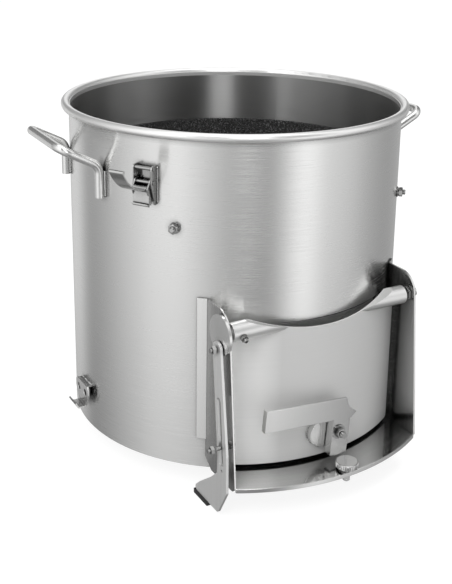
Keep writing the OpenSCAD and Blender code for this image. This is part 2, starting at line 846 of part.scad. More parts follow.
// outline of the lever about its pivot: a long flag and a strap that hangs from it
module lever_outline() {
    flag_low = 14.5;
    left = -8;
    difference() {
        union() {
            polygon([[-flag_len, flag_low], [-flag_len, flag_low + flag_h], [6.6, flag_low + flag_h],
                [30, flag_low + flag_h], [22, 21.6], [15.4, flag_low]]);
            intersection() {
                translate([left, -40]) square([strap_w, 40 + flag_low]);
                union() {
                    circle(strap_end);
                    translate([left, 0]) square([strap_w, 20]);
                }
            }
        }
        translate([29.5, flag_low + flag_h + 3.4]) circle(23);
        circle(latch_bolt_r + run_c);
    }
}

// bent plate with flanges folded back along the flag's end and the strap's edge
module latch_lever() {
    flag_low = 14.5;
    left = -8;
    color(steel) translate([latch_x, 0, latch_z]) rotate([0, lever_tilt, 0]) union() {
        front_plate(lever_y, lever_t) lever_outline();
        translate([-flag_len, -lever_y - eps, flag_low]) cube([1.5, flag_back, flag_h]);
        intersection() {
            translate([left, -lever_y - eps, -40]) cube([lever_t, flange_back, 40 + flag_low]);
            union() {
                rod_y(lever_y - 20, lever_y + 5, 0, 0, strap_end);
                translate([left, -lever_y - 1, 0]) cube([lever_t, 20, 20]);
            }
        }
    }
}

// disc and shaft in one piece, turned with the door by the set screw
module crank() {
    color(steel) difference() {
        union() {
            rod_x(-crank_in_x - crank_t, -crank_in_x, -hinge_y, hinge_z, crank_r);
            rod_x(-crank_in_x - 1, -bar_left + bore_depth - 0.5, -hinge_y, hinge_z, pin_r);
        }
        rod_x(-crank_in_x - crank_t - 1, -crank_in_x + 1, -pin_y, pin_z, link_bolt_r);
    }
}

module set_screw() {
    color(dark_steel) rotate_about_bar() translate([-bar_left + 11, 0, 0]) {
        difference() {
            translate([0, 0, pin_r]) cylinder(r = 2.5, h = bar_r + 7 - pin_r);
            rod_x(-10, 10, 0, 0, pin_r);
        }
        translate([0, 0, bar_r + 0.05]) difference() {
            cylinder(r = 4.6, h = 3.4, $fn = 6);
            translate([0, 0, -1]) cylinder(r = 2.5, h = 6);
        }
    }
}

module crank_pin() {
    color(steel) union() {
        rod_x(-link_out_x - 8, -crank_in_x, -pin_y, pin_z, link_bolt_r);
        rod_x(-link_in_x + 0.1, -crank_in_x - crank_t, -pin_y, pin_z, 5.5);
    }
}

module crank_pin_nut() {
    color(dark_steel) difference() {
        union() {
            rod_x(-link_out_x - 1.3, -link_out_x - 0.1, -pin_y, pin_z, 5.5);
            rod_x(-link_out_x - 5.8, -link_out_x - 1.3, -pin_y, pin_z, m5_nut_r, 6);
        }
        rod_x(-link_out_x - 10, -link_out_x + 1, -pin_y, pin_z, link_bolt_r);
    }
}

// places its children with the crank pin at the origin and the link's line along -Y
module along_link() {
    translate([-pin_y, pin_z]) rotate(-link_lean) children();
}

// outline of the link: a slotted bar that widens into a pointed foot
module link_outline() {
    foot_z = -foot_drop;
    slot_half = link_bolt_r + slot_room;
    difference() {
        union() {
            along_link() circle(link_half_w);
            along_link() translate([-link_half_w, guide_z - pin_z - 20])
                square([2 * link_half_w, pin_z - guide_z + 20]);
            offset(r = 4, $fn = 24) offset(delta = -4) polygon([[-pin_y - 10.5, pin_z - 17],
                [-guide_y - 12, guide_z - 6], [-guide_y - 13, 4], [-guide_y + 5, foot_z],
                [-guide_y + foot_len, foot_z], [-guide_y + foot_len, foot_z + 5.5],
                [-guide_y + foot_len - 10, foot_z + 15], [-guide_y + 20, 8],
                [-guide_y + 7.5, 20], [-guide_y + 6.5, guide_z],
                [-pin_y + 4, pin_z - 17]]);
        }
        along_link() {
            circle(link_bolt_r + run_c);
            for (end = [slot_top, slot_top + slot_len]) translate([0, -end]) circle(slot_half);
            translate([-slot_half, -slot_top - slot_len]) square([2 * slot_half, slot_len]);
            translate([0, -slot_top - slot_len - 9]) circle(1.6);
        }
    }
}

module safety_link() {
    color(steel) side_plate(-link_out_x, link_t) link_outline();
}

module link_magnet() {
    color(black) translate([-link_out_x - 1, foot_len - guide_y + 2 - magnet_len, -foot_drop - magnet_h])
        cube([link_t + 2, magnet_len, magnet_h]);
}

// knurled head with a shouldered foot, and a screw through the chute floor
module thumb_screw() {
    rim = 1;
    color(steel) translate([knob_x, -knob_y, 0]) rotate_extrude() polygon([[0, -7], [knob_screw_r - 1, -7],
        [knob_screw_r, -6], [knob_screw_r, knob_z], [knob_r - 3, knob_z], [knob_r - 3, knob_z + 2],
        [knob_r, knob_z + 3], [knob_r, knob_z + knob_h - rim], [knob_r - rim, knob_z + knob_h],
        [0, knob_z + knob_h]]);
}

drum_shell();
liner_sheet();
liner_grit();
liner_bolts();
drum_floor();
drain_pipe();
bearing_housing();
bearing_outer_rings();
bearing_balls();
shaft_seal();
bearing_circlip();
left_handle();
right_handle();
left_base_catch();
right_base_catch();
toggle_base();
toggle_pins();
left_cheek();
right_cheek();
chute_floor();
hinge_bush();
hinge_bolt();
hinge_bolt_nuts();
guide_bolt();
guide_bolt_nuts();
drive_shaft();
bearing_inner_rings();
disc_plate();
disc_grit();
disc_wipers();
disc_washer();
disc_nut();
door_panel();
hinge_bar();
door_spacers();
plug_panel();
plug_grit();
latch_boss();
latch_bolt();
latch_spacer();
latch_washers();
latch_nut();
crank();
set_screw();
crank_pin();
crank_pin_nut();
latch_lever();
safety_link();
link_magnet();
thumb_screw();
toggle_lever();
toggle_link_pin();
toggle_hook();
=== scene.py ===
"""Looks of the peeling drum: camera, studio light, steel and grit materials, threads and welds."""
import bpy
import bmesh
import math
import random
from mathutils import Matrix, Vector
from mathutils.geometry import tessellate_polygon


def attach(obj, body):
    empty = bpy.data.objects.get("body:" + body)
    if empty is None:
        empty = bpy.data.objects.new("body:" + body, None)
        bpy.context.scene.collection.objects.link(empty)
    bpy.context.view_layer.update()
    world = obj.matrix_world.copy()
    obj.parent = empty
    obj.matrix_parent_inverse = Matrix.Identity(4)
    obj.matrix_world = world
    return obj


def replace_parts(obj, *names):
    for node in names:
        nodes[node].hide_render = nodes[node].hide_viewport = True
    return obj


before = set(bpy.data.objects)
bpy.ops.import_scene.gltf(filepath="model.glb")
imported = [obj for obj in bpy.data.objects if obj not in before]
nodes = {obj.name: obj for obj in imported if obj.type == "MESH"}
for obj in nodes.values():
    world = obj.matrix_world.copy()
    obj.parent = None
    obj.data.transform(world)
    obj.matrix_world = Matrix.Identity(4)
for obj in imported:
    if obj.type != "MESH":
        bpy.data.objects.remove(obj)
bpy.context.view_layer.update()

bpy.context.scene.view_settings.view_transform = "Standard"


# ------------------------------------------------------------------ camera

cam_data = bpy.data.cameras.new("view_camera")
cam = bpy.data.objects.new("view_camera", cam_data)
bpy.context.scene.collection.objects.link(cam)
# fitted to the photo, in metres and degrees
cam.location = (-0.59877, -1.03512, 0.62026)
cam.rotation_euler = [math.radians(a) for a in (74.3586, -0.7391, -29.3674)]
cam_data.sensor_width = 36
cam_data.lens = 61.791
cam_data.shift_y = -0.2
cam_data.clip_start = 0.05
cam_data.clip_end = 50
cam_data.dof.use_dof = False
bpy.context.scene.camera = cam


# ------------------------------------------------------------------ studio

def node(tree, kind, **props):
    """New node with some of its properties set."""
    n = tree.nodes.new(kind)
    for k, v in props.items():
        setattr(n, k, v)
    return n


def math_node(tree, op, a, b=None, c=None):
    """Result of a sum on numbers or sockets."""
    n = tree.nodes.new("ShaderNodeMath")
    n.operation = op
    for i, v in enumerate((a, b, c)):
        if v is None:
            continue
        if isinstance(v, (int, float)):
            n.inputs[i].default_value = v
        else:
            tree.links.new(v, n.inputs[i])
    return n.outputs[0]


def ramp(tree, fac, stops, interp):
    """Grey that follows a factor through (position, value) stops."""
    n = tree.nodes.new("ShaderNodeValToRGB")
    n.color_ramp.interpolation = interp
    els = n.color_ramp.elements
    while len(els) < len(stops):
        els.new(0.5)
    for e, (p, v) in zip(els, stops):
        e.position = p
        e.color = (v, v, v, 1)
    tree.links.new(fac, n.inputs[0])
    return n.outputs[0]


# Soft boxes round the drum, as (direction, strength). The direction runs from behind the drum
# (-180) over its left and its front (0) to its right and back. A broad box stands at the left and
# a narrow bright one at the right, with dark gaps between them.
SOFT_BOXES = [(-180, 0.5), (-138, 0.74), (-115, 0.42), (-66, 0.87), (-42, 1.02), (-18, 0.83),
              (13, 0.42), (30, 0.66), (47, 1.24), (64, 0.92), (93, 0.62), (125, 0.4), (180, 0.5)]
# tall strip lights above the rim, which the inside of the wall shows through the open top
STRIPS = [(-180, 0.9), (-168, 0.8), (-160, 0.1), (-130, 0.15), (-94, 0.5), (-66, 1.1), (-46, 1.3),
          (-38, 2.3), (-33, 1.7), (-28, 0.3), (-14, 0.25), (0, 0.25), (5, 3.4), (17, 3.1),
          (22, 0.2), (42, 0.1), (54, 0.25), (76, 1.2), (100, 0.8), (125, 0.3), (150, 0.05),
          (160, 0.1), (168, 0.8), (180, 0.9)]
# even light from straight above
CEILING = 1.55
# share of the light by height, from straight below (-90) to straight above (90)
HEIGHT = [(-90, 0.38), (-45, 0.42), (-33, 0.54), (-27, 0.75), (-20, 1.0), (0, 1.0), (30, 1.0),
          (90, 1.0)]
# degrees above the horizon between which the strips take over, and then the ceiling
STRIPS_RISE = (4, 9)
CEILING_RISE = (58, 66)
# degrees that the whole studio is turned by, to face the camera
STUDIO_TURN = 30
# ramps hold values up to 1, so they are divided by this and the background is multiplied by it
STRONGEST = 3.5

world = bpy.data.worlds.new("studio")
bpy.context.scene.world = world
world.use_nodes = True
wt = world.node_tree
wt.nodes.clear()
coord = node(wt, "ShaderNodeTexCoord")
turn = node(wt, "ShaderNodeVectorRotate", rotation_type="Z_AXIS")
turn.inputs["Angle"].default_value = math.radians(STUDIO_TURN)
wt.links.new(coord.outputs["Generated"], turn.inputs["Vector"])
parts = node(wt, "ShaderNodeSeparateXYZ")
wt.links.new(turn.outputs[0], parts.inputs[0])
front = math_node(wt, "MULTIPLY", parts.outputs[1], -1)
around = math_node(wt, "ARCTAN2", parts.outputs[0], front)
around = math_node(wt, "MULTIPLY_ADD", around, 1 / (2 * math.pi), 0.5)
height = math_node(wt, "ARCSINE", parts.outputs[2])
height = math_node(wt, "MULTIPLY_ADD", height, 1 / math.pi, 0.5)


def by_direction(stops, interp):
    """Light that follows the direction round the drum."""
    return ramp(wt, around, [((a + 180) / 360, v / STRONGEST) for a, v in stops], interp)


ring_light = by_direction(SOFT_BOXES, "CARDINAL")
strip_light = by_direction(STRIPS, "LINEAR")
rise_light = ramp(wt, height, [((a + 90) / 180, v) for a, v in HEIGHT], "LINEAR")
ceiling = node(wt, "ShaderNodeRGB")
ceiling.outputs[0].default_value = (CEILING / STRONGEST,) * 3 + (1,)


def layered(low, high, start, end):
    """Light that changes from low to high between two angles above the horizon."""
    layer = node(wt, "ShaderNodeMix", data_type="RGBA")
    rise = node(wt, "ShaderNodeMapRange", interpolation_type="SMOOTHSTEP")
    rise.inputs["From Min"].default_value = 0.5 + start / 180
    rise.inputs["From Max"].default_value = 0.5 + end / 180
    wt.links.new(height, rise.inputs["Value"])
    wt.links.new(rise.outputs["Result"], layer.inputs[0])
    wt.links.new(low, layer.inputs[6])
    wt.links.new(high, layer.inputs[7])
    return layer.outputs[2]


mix = node(wt, "ShaderNodeMix", data_type="RGBA", blend_type="MULTIPLY")
mix.inputs[0].default_value = 1
walls = layered(ring_light, strip_light, *STRIPS_RISE)
wt.links.new(layered(walls, ceiling.outputs[0], *CEILING_RISE), mix.inputs[6])
wt.links.new(rise_light, mix.inputs[7])
studio = node(wt, "ShaderNodeBackground")
studio.inputs["Strength"].default_value = STRONGEST
wt.links.new(mix.outputs[2], studio.inputs["Color"])
white = node(wt, "ShaderNodeBackground")
white.inputs["Color"].default_value = (1, 1, 1, 1)
white.inputs["Strength"].default_value = 1
path = node(wt, "ShaderNodeLightPath")
pick = node(wt, "ShaderNodeMixShader")
seen = math_node(wt, "MAXIMUM", path.outputs["Is Camera Ray"], path.outputs["Is Transmission Ray"])
wt.links.new(seen, pick.inputs[0])
wt.links.new(studio.outputs[0], pick.inputs[1])
wt.links.new(white.outputs[0], pick.inputs[2])
out = node(wt, "ShaderNodeOutputWorld")
wt.links.new(pick.outputs[0], out.inputs["Surface"])

LAMP_AIM = Vector((0, 0, 0.2))


def area_light(name, place, size, power):
    """Lamp that points at the drum and casts its shadow, but isn't mirrored in the steel."""
    data = bpy.data.lights.new(name, "AREA")
    data.shape = "RECTANGLE"
    data.size, data.size_y = size
    data.energy = power
    lamp = bpy.data.objects.new(name, data)
    bpy.context.scene.collection.objects.link(lamp)
    lamp.location = place
    lamp.rotation_euler = (LAMP_AIM - Vector(place)).to_track_quat("-Z", "Y").to_euler()
    lamp.visible_glossy = False


area_light("key_softbox", (-1.6, -1.2, 1.9), (1.0, 1.0), 30)
area_light("top_softbox", (0.5, -0.6, 2.2), (1.2, 0.8), 12)

# floor of paper that glows up to white and keeps the object's shadow
FLOOR_HALF = 6
FLOOR_Z = -0.0345
PAPER_TONE = 0.2
PAPER_GLOW = 0.86

floor_mesh = bpy.data.meshes.new("floor")
corners = [(x * FLOOR_HALF, y * FLOOR_HALF, 0) for x, y in ((-1, -1), (1, -1), (1, 1), (-1, 1))]
floor_mesh.from_pydata(corners, [], [(0, 1, 2, 3)])
floor = bpy.data.objects.new("floor", floor_mesh)
bpy.context.scene.collection.objects.link(floor)
floor.location.z = FLOOR_Z
floor.visible_glossy = False
floor.visible_diffuse = False
fm = bpy.data.materials.new("floor_paper")
fm.use_nodes = True
ft = fm.node_tree
ft.nodes.clear()
paper = node(ft, "ShaderNodeBsdfDiffuse")
paper.inputs["Color"].default_value = (PAPER_TONE,) * 3 + (1,)
glow = node(ft, "ShaderNodeEmission")
glow.inputs["Color"].default_value = (1, 1, 1, 1)
glow.inputs["Strength"].default_value = PAPER_GLOW
both = node(ft, "ShaderNodeAddShader")
ft.links.new(paper.outputs[0], both.inputs[0])
ft.links.new(glow.outputs[0], both.inputs[1])
fo = node(ft, "ShaderNodeOutputMaterial")
ft.links.new(both.outputs[0], fo.inputs["Surface"])
floor_mesh.materials.append(fm)


# --------------------------------------------------------------- materials

WALL_RADIUS = 0.2
# share of blue in the steel's grey, a touch below red and green
STEEL_BLUE = 0.992
# scale, detail and roughness of each noise
STREAKS = (1.0, 4.0, 0.65)
CLOUDS = (7.0, 3.0, 0.55)
GRIT_LUMPS = (520, 4.0, 0.7)
DULL_GRAIN = (900, 3, 0.6)
# depth of each relief in metres
BRUSH_DEPTH, GRIT_DEPTH, DULL_DEPTH = 0.0004, 0.0014, 0.0002


def axis_of(tree, vector, axis):
    """One coordinate of a vector: 0 for X, 1 for Y, 2 for Z."""
    sep = tree.nodes.new("ShaderNodeSeparateXYZ")
    tree.links.new(vector, sep.inputs[0])
    return sep.outputs[axis]


def radius_of(tree, vector):
    """Distance from the drum's axis."""
    x, y = (axis_of(tree, vector, axis) for axis in (0, 1))
    return math_node(tree, "SQRT", math_node(tree, "ADD", math_node(tree, "MULTIPLY", x, x),
                                             math_node(tree, "MULTIPLY", y, y)))


def grain_vector(tree, where, mode, along, across):
    """Coordinates stretched along the grain: around the drum, or along X or Z."""
    x, y, z = (axis_of(tree, where, axis) for axis in (0, 1, 2))
    if mode == "around":
        arc = math_node(tree, "MULTIPLY", math_node(tree, "ARCTAN2", x, y), WALL_RADIUS)
        stretch = ((arc, along), (radius_of(tree, where), across), (z, across))
    elif mode == "x":
        stretch = ((x, along), (y, across), (z, across))
    else:
        stretch = ((x, across), (y, across), (z, along))
    com = tree.nodes.new("ShaderNodeCombineXYZ")
    for i, (v, k) in enumerate(stretch):
        tree.links.new(math_node(tree, "MULTIPLY", v, k), com.inputs[i])
    return com.outputs[0]


def noise(tree, vector, scale, detail, rough):
    """Noise from about 0.3 to 0.7."""
    n = tree.nodes.new("ShaderNodeTexNoise")
    n.inputs["Scale"].default_value = scale
    n.inputs["Detail"].default_value = detail
    n.inputs["Roughness"].default_value = rough
    tree.links.new(vector, n.inputs["Vector"])
    return n.outputs["Fac"]


def spread(tree, value, lo, hi, from_lo=0.3, from_hi=0.7):
    """A value between from_lo and from_hi, mapped to between lo and hi."""
    n = tree.nodes.new("ShaderNodeMapRange")
    n.inputs["From Min"].default_value = from_lo
    n.inputs["From Max"].default_value = from_hi
    n.inputs["To Min"].default_value = lo
    n.inputs["To Max"].default_value = hi
    tree.links.new(value, n.inputs["Value"])
    return n.outputs["Result"]


def switched(tree, flag, off, on):
    """A value that is on where the flag is 1, and off where it is 0."""
    return math_node(tree, "MULTIPLY_ADD", flag, math_node(tree, "SUBTRACT", on, off), off)


def bumped(tree, shader, height, strength, distance):
    """Gives the shader fine relief, and returns its node."""
    b = tree.nodes.new("ShaderNodeBump")
    b.inputs["Strength"].default_value = strength
    b.inputs["Distance"].default_value = distance
    tree.links.new(height, b.inputs["Height"])
    tree.links.new(b.outputs[0], shader.inputs["Normal"])
    return b


def steel(name, tone, rough, vary, grain, aniso=0.0, bump=0.01, edge=0.0, smudge=0.02, shade=0.5,
          shade_dist=0.008, metal=1.0, inside=None, rim=None, lip=None, painted_sidelight=None, face=None):
    """Brushed stainless steel: streaks along the grain, smudges, painted shade in corners and soft
    edges.

    inside: (radius it lies below, roughness, anisotropy, share of tone) of the wall's inner face,
    the share being painted shade
    rim: (height it lies above, roughness, tone, metallic) of the bead over that wall, its brighter
    tone a painted highlight
    lip: (radius it lies beyond, tone) of a sheet's outer part: a brighter tone that is a painted
    highlight and leaves out the painted shade
    lighter: (X of its full effect, X where it ends, factor) of a face that brightens sideways:
    painted light
    face: (X, how near counts, tone) of one flat side of a plate: a darker tone that is painted
    shade
    """
    m = bpy.data.materials.new(name)
    m.use_nodes = True
    t = m.node_tree
    t.nodes.clear()
    s = t.nodes.new("ShaderNodeBsdfPrincipled")
    s.inputs["Metallic"].default_value = metal
    s.inputs["Anisotropic"].default_value = aniso
    where = t.nodes.new("ShaderNodeTexCoord").outputs["Object"]
    streak = noise(t, grain_vector(t, where, *grain), *STREAKS)
    cloud = noise(t, where, *CLOUDS)

    # tone
    light = spread(t, streak, tone * (1 - vary), min(tone * (1 + vary), 1))
    cloudy = spread(t, cloud, 1 - smudge * 0.6, 1 + smudge * 0.6)
    value = math_node(t, "MULTIPLY", light, cloudy)
    # painted shade: ambient occlusion darkens the tone by up to shade in corners, creases and
    # recesses within shade_dist
    ao = t.nodes.new("ShaderNodeAmbientOcclusion")
    ao.samples = 6
    ao.inputs["Distance"].default_value = shade_dist
    value = math_node(t, "MULTIPLY", value, spread(t, ao.outputs["AO"], 1 - shade, 1, 0.25, 0.95))
    # painted shade: the wall's inner face keeps only a share of the tone
    if inside:
        in_radius, in_rough, in_aniso, in_shade_share = inside
        in_wall = math_node(t, "LESS_THAN", radius_of(t, where), in_radius)
        share = math_node(t, "MULTIPLY_ADD", in_wall, in_shade_share - 1, 1)
        value = math_node(t, "MULTIPLY", value, share)
    # painted highlight: a sheet's outer part gets a brighter tone of its own, without the painted
    # shade
    if lip:
        lip_radius, lip_highlight_tone = lip
        out_there = math_node(t, "GREATER_THAN", radius_of(t, where), lip_radius)
        value = switched(t, out_there, value, lip_highlight_tone)
    # painted light: the tone grows brighter towards one side, by up to the factor
    if painted_sidelight:
        full_x, end_x, factor = painted_sidelight
        value = math_node(t, "MULTIPLY", value,
                          spread(t, axis_of(t, where, 0), factor, 1, full_x, end_x))
    # painted shade: one flat side of a plate gets a darker tone of its own
    if face:
        face_x, near, face_shade_tone = face
        on_face = math_node(t, "COMPARE", axis_of(t, where, 0), face_x, near)
        value = switched(t, on_face, value, face_shade_tone)
    # painted highlight: the bead gets a brighter tone of its own
    if rim:
        rim_height, rim_rough, rim_highlight_tone, rim_metal = rim
        on_rim = math_node(t, "GREATER_THAN", axis_of(t, where, 2), rim_height)
        value = switched(t, on_rim, value, rim_highlight_tone)
    com = t.nodes.new("ShaderNodeCombineColor")
    t.links.new(value, com.inputs[0])
    t.links.new(value, com.inputs[1])
    t.links.new(math_node(t, "MULTIPLY", value, STEEL_BLUE), com.inputs[2])
    t.links.new(com.outputs[0], s.inputs["Base Color"])

    # polish
    polish = math_node(t, "ADD", spread(t, streak, rough - 2 * vary, rough + 2 * vary),
                       spread(t, cloud, -smudge, smudge))
    if inside:
        polish = math_node(t, "MULTIPLY_ADD", in_wall, in_rough - rough, polish)
        pull = math_node(t, "MULTIPLY_ADD", in_wall, in_aniso - aniso, aniso)
        if rim:
            polish = switched(t, on_rim, polish, rim_rough)
            pull = math_node(t, "MULTIPLY", pull, math_node(t, "SUBTRACT", 1, on_rim))
            t.links.new(math_node(t, "MULTIPLY_ADD", on_rim, rim_metal - metal, metal),
                        s.inputs["Metallic"])
        t.links.new(pull, s.inputs["Anisotropic"])
    t.links.new(polish, s.inputs["Roughness"])
    if aniso > 0:
        tan = t.nodes.new("ShaderNodeTangent")
        tan.direction_type = "RADIAL"
        tan.axis = "Z"
        t.links.new(tan.outputs[0], s.inputs["Tangent"])
        s.inputs["Anisotropic Rotation"].default_value = 0.25

    # relief
    b = bumped(t, s, streak, bump, BRUSH_DEPTH)
    if edge:
        bev = t.nodes.new("ShaderNodeBevel")
        bev.samples = 4
        bev.inputs["Radius"].default_value = edge
        t.links.new(bev.outputs[0], b.inputs["Normal"])
    o = t.nodes.new("ShaderNodeOutputMaterial")
    t.links.new(s.outputs[0], o.inputs["Surface"])
    return m


def grit(name):
    """Coarse black silicon carbide grains with small bright facets."""
    m = bpy.data.materials.new(name)
    m.use_nodes = True
    t = m.node_tree
    t.nodes.clear()
    s = t.nodes.new("ShaderNodeBsdfPrincipled")
    tc = t.nodes.new("ShaderNodeTexCoord")
    grains = t.nodes.new("ShaderNodeTexVoronoi")
    grains.inputs["Scale"].default_value = 850
    t.links.new(tc.outputs["Object"], grains.inputs["Vector"])
    lumps = noise(t, tc.outputs["Object"], *GRIT_LUMPS)
    tint = t.nodes.new("ShaderNodeSeparateColor")
    t.links.new(grains.outputs["Color"], tint.inputs[0])
    tones = [(0.0, 0.005), (0.5, 0.014), (0.8, 0.045), (1.0, 0.16)]
    col = ramp(t, tint.outputs[0], tones, "LINEAR")
    t.links.new(col, s.inputs["Base Color"])
    t.links.new(spread(t, tint.outputs[1], 0.25, 0.7, 0, 1), s.inputs["Roughness"])
    s.inputs["Specular IOR Level"].default_value = 0.5
    h = math_node(t, "ADD", math_node(t, "MULTIPLY", grains.outputs["Distance"], 1.2), lumps)
    bumped(t, s, h, 0.9, GRIT_DEPTH)
    o = t.nodes.new("ShaderNodeOutputMaterial")
    t.links.new(s.outputs[0], o.inputs["Surface"])
    return m


def dull(name, value, rough):
    """Moulded black plastic or rubber with a faint grain."""
    m = bpy.data.materials.new(name)
    m.use_nodes = True
    t = m.node_tree
    s = t.nodes["Principled BSDF"]
    tc = t.nodes.new("ShaderNodeTexCoord")
    n = noise(t, tc.outputs["Object"], *DULL_GRAIN)
    v = spread(t, n, value * 0.75, value * 1.3)
    com = t.nodes.new("ShaderNodeCombineColor")
    for i in range(3):
        t.links.new(v, com.inputs[i])
    t.links.new(com.outputs[0], s.inputs["Base Color"])
    t.links.new(spread(t, n, rough - 0.1, rough + 0.1), s.inputs["Roughness"])
    bumped(t, s, n, 0.2, DULL_DEPTH)
    return m


# each material's shade and shade_dist set how much painted shade falls in its corners and recesses
MATERIALS = {
    # painted shade on the drum's inner face and a painted highlight on its bead
    "drum": steel("drum_steel", 0.79, 0.24, 0.027, ("around", 18, 800), aniso=0.85, bump=0.008,
                  edge=0.0008, smudge=0.012, shade=0.8, inside=(0.1992, 0.36, 0.99, 0.5),
                  rim=(0.3762, 0.32, 0.87, 0.8)),
    "inner": steel("inner_steel", 0.76, 0.2, 0.04, ("around", 5, 420), aniso=0.6, bump=0.02,
                   smudge=0.05),
    "sheet": steel("chute_steel", 0.8, 0.22, 0.03, ("z", 6, 420), bump=0.015, edge=0.001,
                   shade=0.8, shade_dist=0.05),
    "catch": steel("catch_steel", 0.74, 0.26, 0.02, ("z", 6, 420), edge=0.0006, shade=0.8,
                   shade_dist=0.006, metal=0.95),
    # the cheek's flange gets a painted highlight and its outer face painted shade
    "sheet_left": steel("cheek_steel", 0.82, 0.26, 0.012, ("z", 6, 420), bump=0.008, edge=0.001,
                        shade=0.35, shade_dist=0.02, lip=(0.1995, 0.93),
                        face=(-0.123, 0.0003, 0.46)),
    # painted highlight on the tray's front lip, and long-reaching painted shade near the door and
    # cheeks
    "floor": steel("tray_steel", 0.76, 0.13, 0.03, ("around", 5, 300), edge=0.0006, smudge=0.03,
                   shade=0.85, shade_dist=0.045, lip=(0.2532, 0.92)),
    # the door and the latch lever brighten towards their left ends as painted light
    "door": steel("door_steel", 0.585, 0.5, 0.02, ("around", 5, 480), bump=0.015, edge=0.0007,
                  shade=0.3, shade_dist=0.006, metal=0.25, painted_sidelight=(-0.114, -0.055, 1.75)),
    "lever": steel("lever_steel", 0.47, 0.24, 0.012, ("x", 8, 420), bump=0.008, edge=0.0009,
                   shade=0.1, shade_dist=0.004, painted_sidelight=(-0.08, 0.03, 1.9)),
    "link": steel("link_steel", 0.76, 0.36, 0.04, ("z", 8, 420), bump=0.02, edge=0.0006,
                  smudge=0.03, shade=0.4, shade_dist=0.006, metal=0.7),
    "bar": steel("bar_steel", 0.8, 0.34, 0.03, ("x", 8, 420), bump=0.015, edge=0.0004, shade=0.4,
                 shade_dist=0.006, metal=0.9),
    "rod": steel("rod_steel", 0.82, 0.24, 0.008, ("z", 20, 100), bump=0.0, shade_dist=0.01,
                 metal=0.9),
    "turned": steel("turned_steel", 0.8, 0.22, 0.04, ("x", 700, 20), bump=0.02, edge=0.0005,
                    smudge=0.03),
    "bolt": steel("bolt_steel", 0.46, 0.09, 0.02, ("z", 60, 60), smudge=0.01, shade=0.9,
                  shade_dist=0.003),
    "knob": steel("knob_steel", 0.8, 0.2, 0.015, ("x", 8, 420), shade=0.7, shade_dist=0.004),
    "weld": steel("weld_steel", 0.62, 0.3, 0.06, ("z", 90, 90), bump=0.05, smudge=0.05,
                  shade_dist=0.004),
    "toggle": steel("toggle_steel", 0.6, 0.16, 0.05, ("z", 12, 380), bump=0.02, edge=0.0004,
                    smudge=0.03, shade=0.85, shade_dist=0.014),
    "grit": grit("black_grit"),
    "rubber": dull("seal_rubber", 0.02, 0.55),
    "plastic": dull("magnet_plastic", 0.012, 0.5),
}

# CAD nodes that wear each material
WEARS = {
    "drum": ["drum_shell"],
    "inner": ["liner_sheet", "drum_floor", "drain_pipe", "disc_plate", "disc_wipers", "plug_panel"],
    "sheet": ["right_cheek"],
    "catch": ["left_base_catch", "right_base_catch"],
    "sheet_left": ["left_cheek"],
    "floor": ["chute_floor"],
    "door": ["door_panel"],
    "lever": ["latch_lever"],
    "link": ["safety_link"],
    "rod": ["left_handle", "right_handle"],
    "turned": ["bearing_housing", "bearing_outer_rings", "bearing_inner_rings", "bearing_balls",
               "bearing_circlip", "hinge_bush", "drive_shaft", "door_spacers", "latch_boss",
               "latch_spacer", "crank", "thumb_screw"],
    "bar": ["hinge_bar"],
    "bolt": ["liner_bolts", "toggle_pins", "hinge_bolt", "hinge_bolt_nuts", "guide_bolt",
             "guide_bolt_nuts", "disc_washer", "disc_nut", "latch_bolt", "latch_washers",
             "latch_nut", "set_screw", "crank_pin", "crank_pin_nut", "toggle_link_pin"],
    "toggle": ["toggle_base", "toggle_lever", "toggle_hook"],
    "grit": ["liner_grit", "disc_grit", "plug_grit"],
    "rubber": ["shaft_seal"],
    "plastic": ["link_magnet"],
}
for key, names in WEARS.items():
    for name in names:
        ob = nodes[name]
        ob.data.materials.clear()
        ob.data.materials.append(MATERIALS[key])


# ------------------------------------------------------------ small details

class Shape:
    """Collects closed shells in millimetres and makes one piece of them."""

    def __init__(self):
        self.verts = []
        self.faces = []

    def add(self, verts, faces, at=Matrix.Identity(4)):
        n = len(self.verts)
        self.verts += [at @ Vector(v) for v in verts]
        self.faces += [[i + n for i in f] for f in faces]

    def make(self, name, material, body, sharp=35):
        bm = bmesh.new()
        vs = [bm.verts.new(v * 0.001) for v in self.verts]
        for f in self.faces:
            bm.faces.new([vs[i] for i in f])
        bmesh.ops.recalc_face_normals(bm, faces=bm.faces)
        mesh = bpy.data.meshes.new(name)
        bm.to_mesh(mesh)
        bm.free()
        mesh.polygons.foreach_set("use_smooth", [True] * len(mesh.polygons))
        mesh.set_sharp_from_angle(angle=math.radians(sharp))
        mesh.materials.append(MATERIALS[material])
        ob = bpy.data.objects.new(name, mesh)
        bpy.context.scene.collection.objects.link(ob)
        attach(ob, body)
        return ob


def ring_faces(count, rings, loop):
    """Quads between rings of points; a loop joins the last ring to the first."""
    out = []
    for k in range(rings if loop else rings - 1):
        a, b = k * count, (k + 1) % rings * count
        out += [[a + i, a + (i + 1) % count, b + (i + 1) % count, b + i] for i in range(count)]
    return out


ROUND = 48


def turned(profile, count=ROUND, radius=None):
    """Solid of revolution about +Z from (radius, height) pairs, closed by its end discs."""
    verts = []
    for r, z in profile:
        for i in range(count):
            a = 2 * math.pi * i / count
            q = radius(r, i) if radius else r
            verts.append((q * math.cos(a), q * math.sin(a), z))
    faces = ring_faces(count, len(profile), False)
    last = (len(profile) - 1) * count
    faces += [list(range(count))[::-1], list(range(last, last + count))]
    return verts, faces


